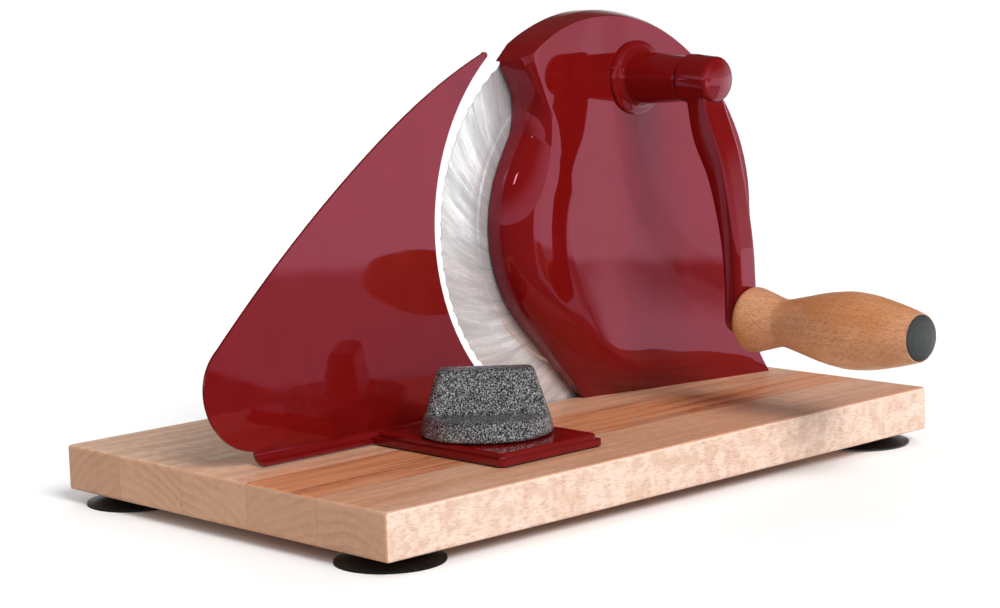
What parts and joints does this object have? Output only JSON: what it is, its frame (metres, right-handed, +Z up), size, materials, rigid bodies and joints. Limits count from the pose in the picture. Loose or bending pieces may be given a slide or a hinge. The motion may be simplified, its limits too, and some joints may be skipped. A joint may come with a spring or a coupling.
{
  "type": "hand cranked bread slicer",
  "caption": "Hand cranked bread slicer: round serrated blade in a cast housing on a wooden board, with a sliding stop plate, clamp knob and wooden crank handle.",
  "frame": {"origin": "centre of the board's flat underside", "axes": "+X along the board's long side, away from the stop plate; +Y towards the side where the loaf lies; +Z up; the blade, crank and handle turn about lines along Y"},
  "size_m": [0.354, 0.2978, 0.216],
  "materials": {
    "board_beech": "oiled",
    "handle_beech": "oiled",
    "cup_rubber": "satin",
    "red_enamel": "gloss",
    "blade_steel": "ground and brushed",
    "turned_steel": "turned",
    "screw_steel": "zinc plated",
    "washer_chrome": "polished",
    "bush_brass": "turned",
    "gear_plastic": "moulded",
    "cap_plastic": "satin",
    "glide_plastic": "matt",
    "knob_hammertone": "hammertone paint"
  },
  "bodies": {
    "base": {"base_board": "board_beech", "suction_cups": "cup_rubber", "cup_screws": "screw_steel", "gear_housing": "red_enamel", "housing_screws": "screw_steel", "blade_axle": "turned_steel", "blade_washer": "turned_steel", "blade_screw": "turned_steel", "shaft_bush": "bush_brass", "slide_key": "turned_steel", "board_insert": "bush_brass", "clamp_stud": "turned_steel"},
    "crank": {"crank_shaft": "turned_steel", "drive_pinion": "turned_steel", "retaining_ring": "screw_steel", "shaft_washer": "washer_chrome", "crank_arm": "red_enamel", "hub_set_screw": "screw_steel", "handle_spindle": "turned_steel", "handle_washer": "washer_chrome"},
    "blade": {"blade_disc": "blade_steel", "blade_gear": "gear_plastic", "gear_screws": "screw_steel", "hub_bush": "bush_brass"},
    "handle": {"handle_grip": "handle_beech", "handle_end_cap": "cap_plastic"},
    "stop": {"stop_plate": "red_enamel", "glide_pad": "glide_plastic"},
    "knob": {"clamp_knob": "knob_hammertone", "knob_insert": "bush_brass", "knob_washer": "washer_chrome"}
  },
  "joints": [
    {"name": "crank_turn", "type": "hinge", "parent": "base", "child": "crank", "pos_m": [0.08, -0.03, 0.17641], "axis": [0, 1, 0], "continuous": true},
    {"name": "blade_spin", "type": "hinge", "parent": "base", "child": "blade", "pos_m": [0.0638, 0.009, 0.1078], "axis": [0, 1, 0], "continuous": true},
    {"name": "handle_spin", "type": "hinge", "parent": "crank", "child": "handle", "pos_m": [0.08, -0.13, 0.06401], "axis": [0, 1, 0], "continuous": true},
    {"name": "stop_slide", "type": "slide", "parent": "base", "child": "stop", "axis": [0, 1, 0], "range_m": [-0.012, 0.0055]},
    {"name": "knob_turn", "type": "hinge", "parent": "base", "child": "knob", "pos_m": [-0.058, -0.0466, 0.03], "axis": [0, 0, 1], "range_deg": [0, 180]}
  ],
  "couplings": [
    {"joint": "blade_spin", "follows": "crank_turn", "ratio": -0.30556}
  ]
}
